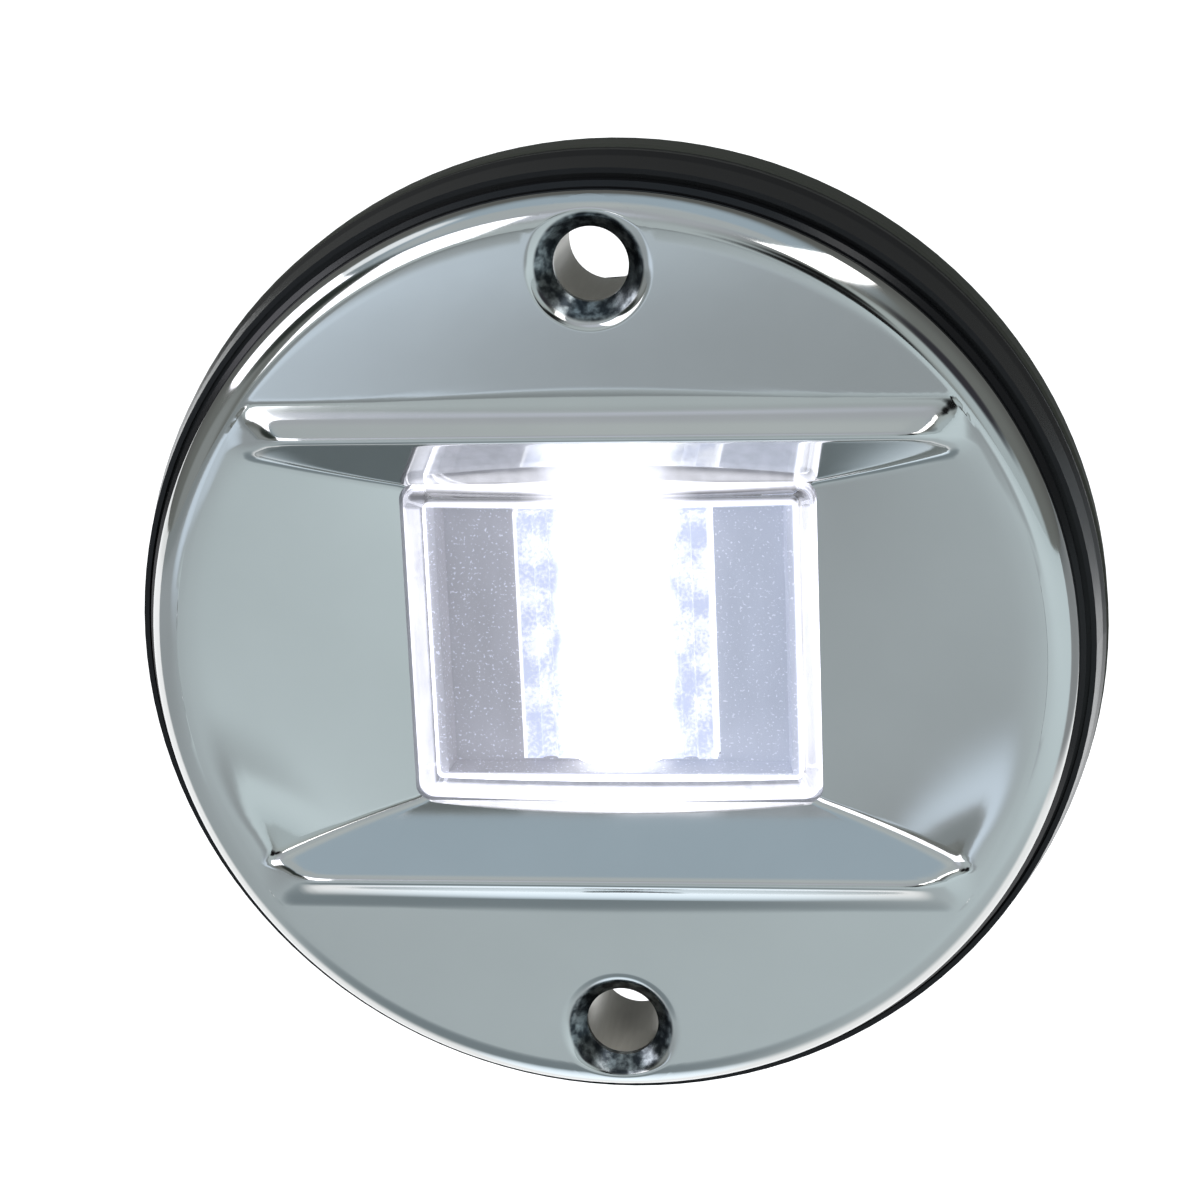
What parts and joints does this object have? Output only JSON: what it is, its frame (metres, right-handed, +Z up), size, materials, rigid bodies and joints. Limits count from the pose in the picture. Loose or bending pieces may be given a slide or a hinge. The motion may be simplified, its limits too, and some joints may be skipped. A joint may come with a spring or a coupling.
{
  "type": "flush-mounted stern navigation light",
  "caption": "Round flush-mounted stern navigation light with a polished pressed face, a recessed clear lens and a rear spigot for a panel cut-out.",
  "frame": {"origin": "centre of the mounting plane, which is the gasket's back face, midway between the mounting holes", "axes": "-Y is the way the light shines, +Y runs along the spigot into the panel, +Z is up through the upper mounting hole, +X is to the right seen from the front"},
  "size_m": [0.0766, 0.0325, 0.0766],
  "materials": {
    "polished_face": "mirror-polished stainless steel pressing",
    "black_moulding": "black moulded plastic, semi-gloss",
    "sleeve_metal": "satin turned metal",
    "gasket_rubber": "matt dark rubber",
    "clear_lens": "clear moulded polycarbonate",
    "clear_optic": "clear moulded acrylic",
    "seal_silicone": "grey silicone",
    "white_tray": "light grey moulded plastic",
    "white_board": "white solder resist on a fibreglass board",
    "diode_body": "white moulded diode body",
    "lit_phosphor": "lit white phosphor",
    "pad_silicone": "blue-grey thermal silicone",
    "spreader_metal": "mill-finish sheet",
    "green_board": "green solder resist on a fibreglass board",
    "chip_black": "moulded black epoxy",
    "ferrite": "sintered ferrite",
    "capacitor_ceramic": "tan ceramic",
    "resistor_black": "glazed film resistor",
    "tinned_copper": "solder-coated copper",
    "plated_brass": "plated brass",
    "spacer_brass": "turned brass",
    "screw_steel": "stainless steel",
    "cover_moulding": "black moulded plastic, fine texture",
    "gland_rubber": "black moulded rubber"
  },
  "bodies": {
    "root": {"face_plate": "polished_face", "base_housing": "black_moulding", "screw_sleeves": "sleeve_metal", "mounting_gasket": "gasket_rubber", "lens": "clear_lens", "light_bar": "clear_optic", "lens_seal": "seal_silicone", "face_seal": "seal_silicone", "cover_seal": "seal_silicone", "reflector_tray": "white_tray", "led_board": "white_board", "led_packages": "diode_body", "led_phosphors": "lit_phosphor", "thermal_pad": "pad_silicone", "heat_spreader": "spreader_metal", "driver_board": "green_board", "driver_chip": "chip_black", "polarity_diode": "chip_black", "surge_diode": "chip_black", "pin_header": "chip_black", "inductor": "ferrite", "input_capacitors": "capacitor_ceramic", "sense_resistors": "resistor_black", "supply_terminals": "tinned_copper", "link_pins": "plated_brass", "spacers": "spacer_brass", "board_screws": "screw_steel", "driver_screws": "screw_steel", "cover_screws": "screw_steel", "rear_cover": "cover_moulding", "cable_gland": "gland_rubber"}
  },
  "joints": []
}
